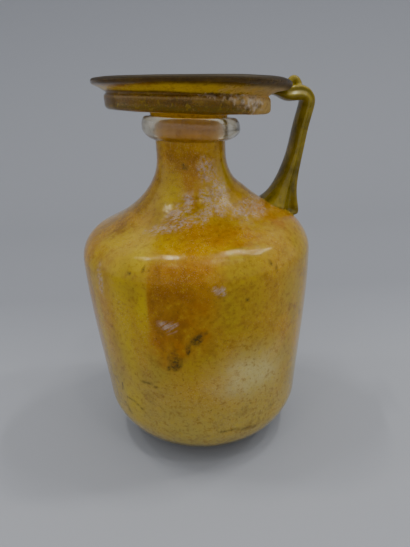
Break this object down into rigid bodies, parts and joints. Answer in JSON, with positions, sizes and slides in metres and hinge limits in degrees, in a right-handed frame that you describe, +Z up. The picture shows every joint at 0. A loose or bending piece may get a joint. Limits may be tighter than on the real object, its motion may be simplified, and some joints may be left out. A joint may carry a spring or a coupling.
{
  "type": "glass oinochoe",
  "caption": "Blown amber glass jug with rounded base, wide dish mouth on a folded collar, clear glass neck ring and a drawn handle from shoulder to rim.",
  "frame": {"origin": "middle of the flat underside that the jug stands on", "axes": "+Z up along the body's axis, +X towards the handle, which stands 9 degrees behind it towards +Y; the picture looks along +Y"},
  "size_m": [0.098, 0.0952, 0.1539],
  "materials": {
    "amber_glass": "weathered amber glass, glossy with speckled patina",
    "clear_glass": "clear colourless glass, smooth",
    "olive_glass": "dark olive green glass, glossy"
  },
  "bodies": {
    "root": {"vessel": "amber_glass", "neck_ring": "clear_glass", "handle": "olive_glass"}
  },
  "joints": []
}
